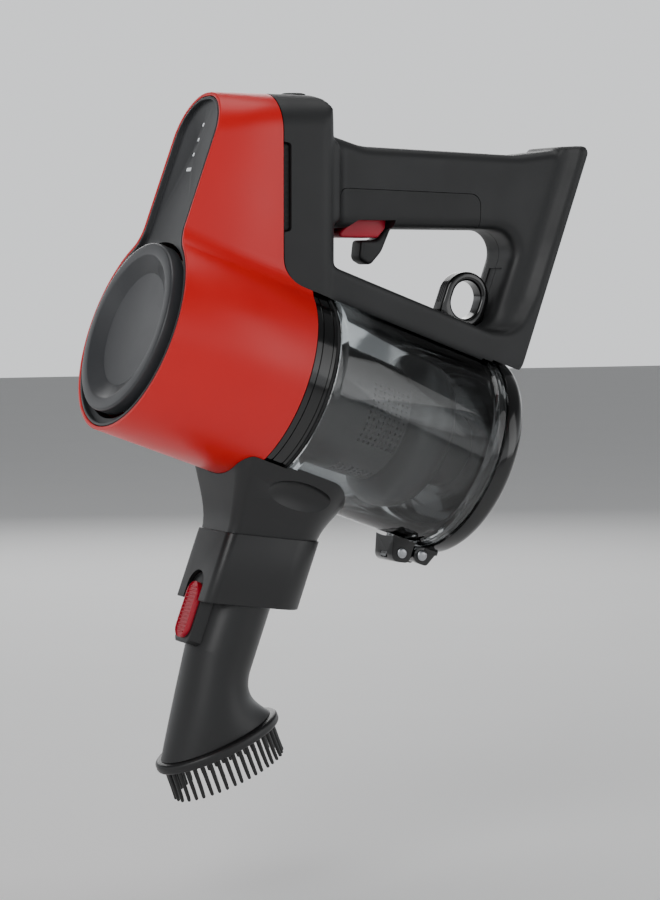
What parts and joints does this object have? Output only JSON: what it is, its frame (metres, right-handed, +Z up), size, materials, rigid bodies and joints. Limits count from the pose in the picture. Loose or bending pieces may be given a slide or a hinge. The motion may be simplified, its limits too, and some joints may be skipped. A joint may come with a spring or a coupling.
{
  "type": "upright vacuum cleaner",
  "caption": "Hand unit of a cordless stick vacuum: motor housing, closed-loop grip, clear cyclone bin with drop lid, inlet tube and fitted dusting brush.",
  "frame": {"origin": "middle of the hand grip, on the plane of symmetry", "axes": "grip level along X, front of the machine to -X, +Z up, +Y to the machine's right; the suction cylinder falls 20 degrees towards +X"},
  "size_m": [0.2778, 0.11, 0.3603],
  "materials": {
    "red_gloss_abs": "high gloss moulded ABS",
    "fascia_abs": "satin moulded ABS",
    "light_pipe": "frosted polycarbonate",
    "cap_abs": "satin moulded ABS",
    "filter_paper": "pleated filter paper",
    "motor_aluminium": "turned and moulded aluminium",
    "stator_steel": "stacked laminations",
    "bright_steel": "plain steel",
    "black_nylon": "moulded nylon",
    "rubber": "moulded rubber",
    "gloss_black_abs": "gloss moulded ABS",
    "filter_foam": "open cell foam",
    "matte_black_abs": "matte moulded ABS",
    "handle_abs": "fine textured ABS",
    "grip_abs": "fine textured ABS",
    "crimson_abs": "satin moulded ABS",
    "cell_wrap": "shrink sleeve",
    "circuit_board": "solder resist",
    "clear_pc": "clear polycarbonate",
    "tube_abs": "satin moulded ABS",
    "bristle_nylon": "nylon bristle"
  },
  "bodies": {
    "main_body": {"motor_housing": "red_gloss_abs", "front_fascia": "fascia_abs", "led_light_pipe": "light_pipe", "motor_casing": "motor_aluminium", "motor_stator": "stator_steel", "motor_end_plate": "motor_aluminium", "bearing_front": "bright_steel", "bearing_rear": "bright_steel", "fan_shroud": "black_nylon", "motor_mount": "rubber", "bin_seat_ring": "gloss_black_abs", "bin_seal": "rubber", "premotor_filter": "filter_foam", "cyclone_shroud": "matte_black_abs", "cyclone_skirt": "matte_black_abs", "collector_tube": "matte_black_abs", "vortex_cone": "black_nylon", "handle_shell_left": "handle_abs", "handle_shell_right": "handle_abs", "handle_screw_1": "bright_steel", "handle_screw_2": "bright_steel", "handle_screw_3": "bright_steel", "handle_screw_4": "bright_steel", "grip_insert": "grip_abs", "vent_grille_left": "matte_black_abs", "vent_grille_right": "matte_black_abs", "trigger_spring": "bright_steel", "power_switch": "black_nylon", "mode_button_spring": "bright_steel", "mode_switch": "black_nylon", "release_spring": "bright_steel", "battery_cell_1": "cell_wrap", "battery_cell_2": "cell_wrap", "battery_cell_3": "cell_wrap", "battery_cell_4": "cell_wrap", "battery_tray": "black_nylon", "control_board": "circuit_board", "charging_jack": "black_nylon"},
    "exhaust_filter": {"exhaust_filter": "filter_paper"},
    "filter_cap": {"filter_cap": "cap_abs"},
    "rotor": {"motor_rotor": "stator_steel", "impeller": "motor_aluminium"},
    "trigger": {"trigger": "crimson_abs"},
    "mode_button": {"mode_button": "gloss_black_abs"},
    "release_ring": {"release_ring": "gloss_black_abs"},
    "bin": {"bin_shell": "clear_pc", "bin_catch": "gloss_black_abs", "inlet_tube": "tube_abs", "hinge_bracket": "gloss_black_abs", "bracket_pin": "bright_steel", "hinge_pin": "bright_steel"},
    "lid": {"bin_lid": "gloss_black_abs", "lid_seal": "rubber", "lid_latch_spring": "bright_steel"},
    "lid_latch": {"lid_latch": "gloss_black_abs"},
    "brush_tool": {"tool_body": "tube_abs", "brush_rim": "tube_abs", "brush_bristles": "bristle_nylon", "tool_button_spring": "bright_steel"},
    "tool_button": {"tool_button": "crimson_abs"}
  },
  "joints": [
    {"name": "filter_slide", "type": "slide", "parent": "main_body", "child": "exhaust_filter", "axis": [-0.9397, 0, 0.342], "range_m": [0, 0.06]},
    {"name": "cap_turn", "type": "hinge", "parent": "exhaust_filter", "child": "filter_cap", "pos_m": [-0.17, 0, -0.071], "axis": [0.9397, 0, -0.342], "range_deg": [0, 35]},
    {"name": "rotor_spin", "type": "hinge", "parent": "main_body", "child": "rotor", "pos_m": [-0.17, 0, -0.071], "axis": [0.9397, 0, -0.342], "continuous": true},
    {"name": "trigger_pull", "type": "slide", "parent": "main_body", "child": "trigger", "axis": [0, 0, 1], "range_m": [0, 0.0035], "stiffness_N_per_m": 500, "springref_m": -0.003, "deforming": ["trigger_spring"]},
    {"name": "mode_press", "type": "slide", "parent": "main_body", "child": "mode_button", "axis": [0, 0, -1], "range_m": [0, 0.0012], "stiffness_N_per_m": 600, "springref_m": -0.002, "deforming": ["mode_button_spring"]},
    {"name": "bin_release_pull", "type": "slide", "parent": "main_body", "child": "release_ring", "axis": [0.342, 0, 0.9397], "range_m": [0, 0.005], "stiffness_N_per_m": 300, "springref_m": -0.004, "deforming": ["release_spring"]},
    {"name": "bin_slide", "type": "slide", "parent": "main_body", "child": "bin", "axis": [0.9397, 0, -0.342], "range_m": [0, 0.13]},
    {"name": "lid_hinge", "type": "hinge", "parent": "bin", "child": "lid", "pos_m": [-0.00792, 0, -0.19203], "axis": [0, 1, 0], "range_deg": [0, 95]},
    {"name": "lid_latch_press", "type": "slide", "parent": "lid", "child": "lid_latch", "axis": [-0.342, 0, -0.9397], "range_m": [0, 0.0016], "stiffness_N_per_m": 400, "springref_m": -0.003, "deforming": ["lid_latch_spring"]},
    {"name": "brush_pull", "type": "slide", "parent": "bin", "child": "brush_tool", "axis": [-0.342, 0, -0.9397], "range_m": [0, 0.045]},
    {"name": "tool_button_press", "type": "slide", "parent": "brush_tool", "child": "tool_button", "axis": [0.9397, 0, -0.342], "range_m": [0, 0.0024], "stiffness_N_per_m": 400, "springref_m": -0.002, "deforming": ["tool_button_spring"]}
  ]
}
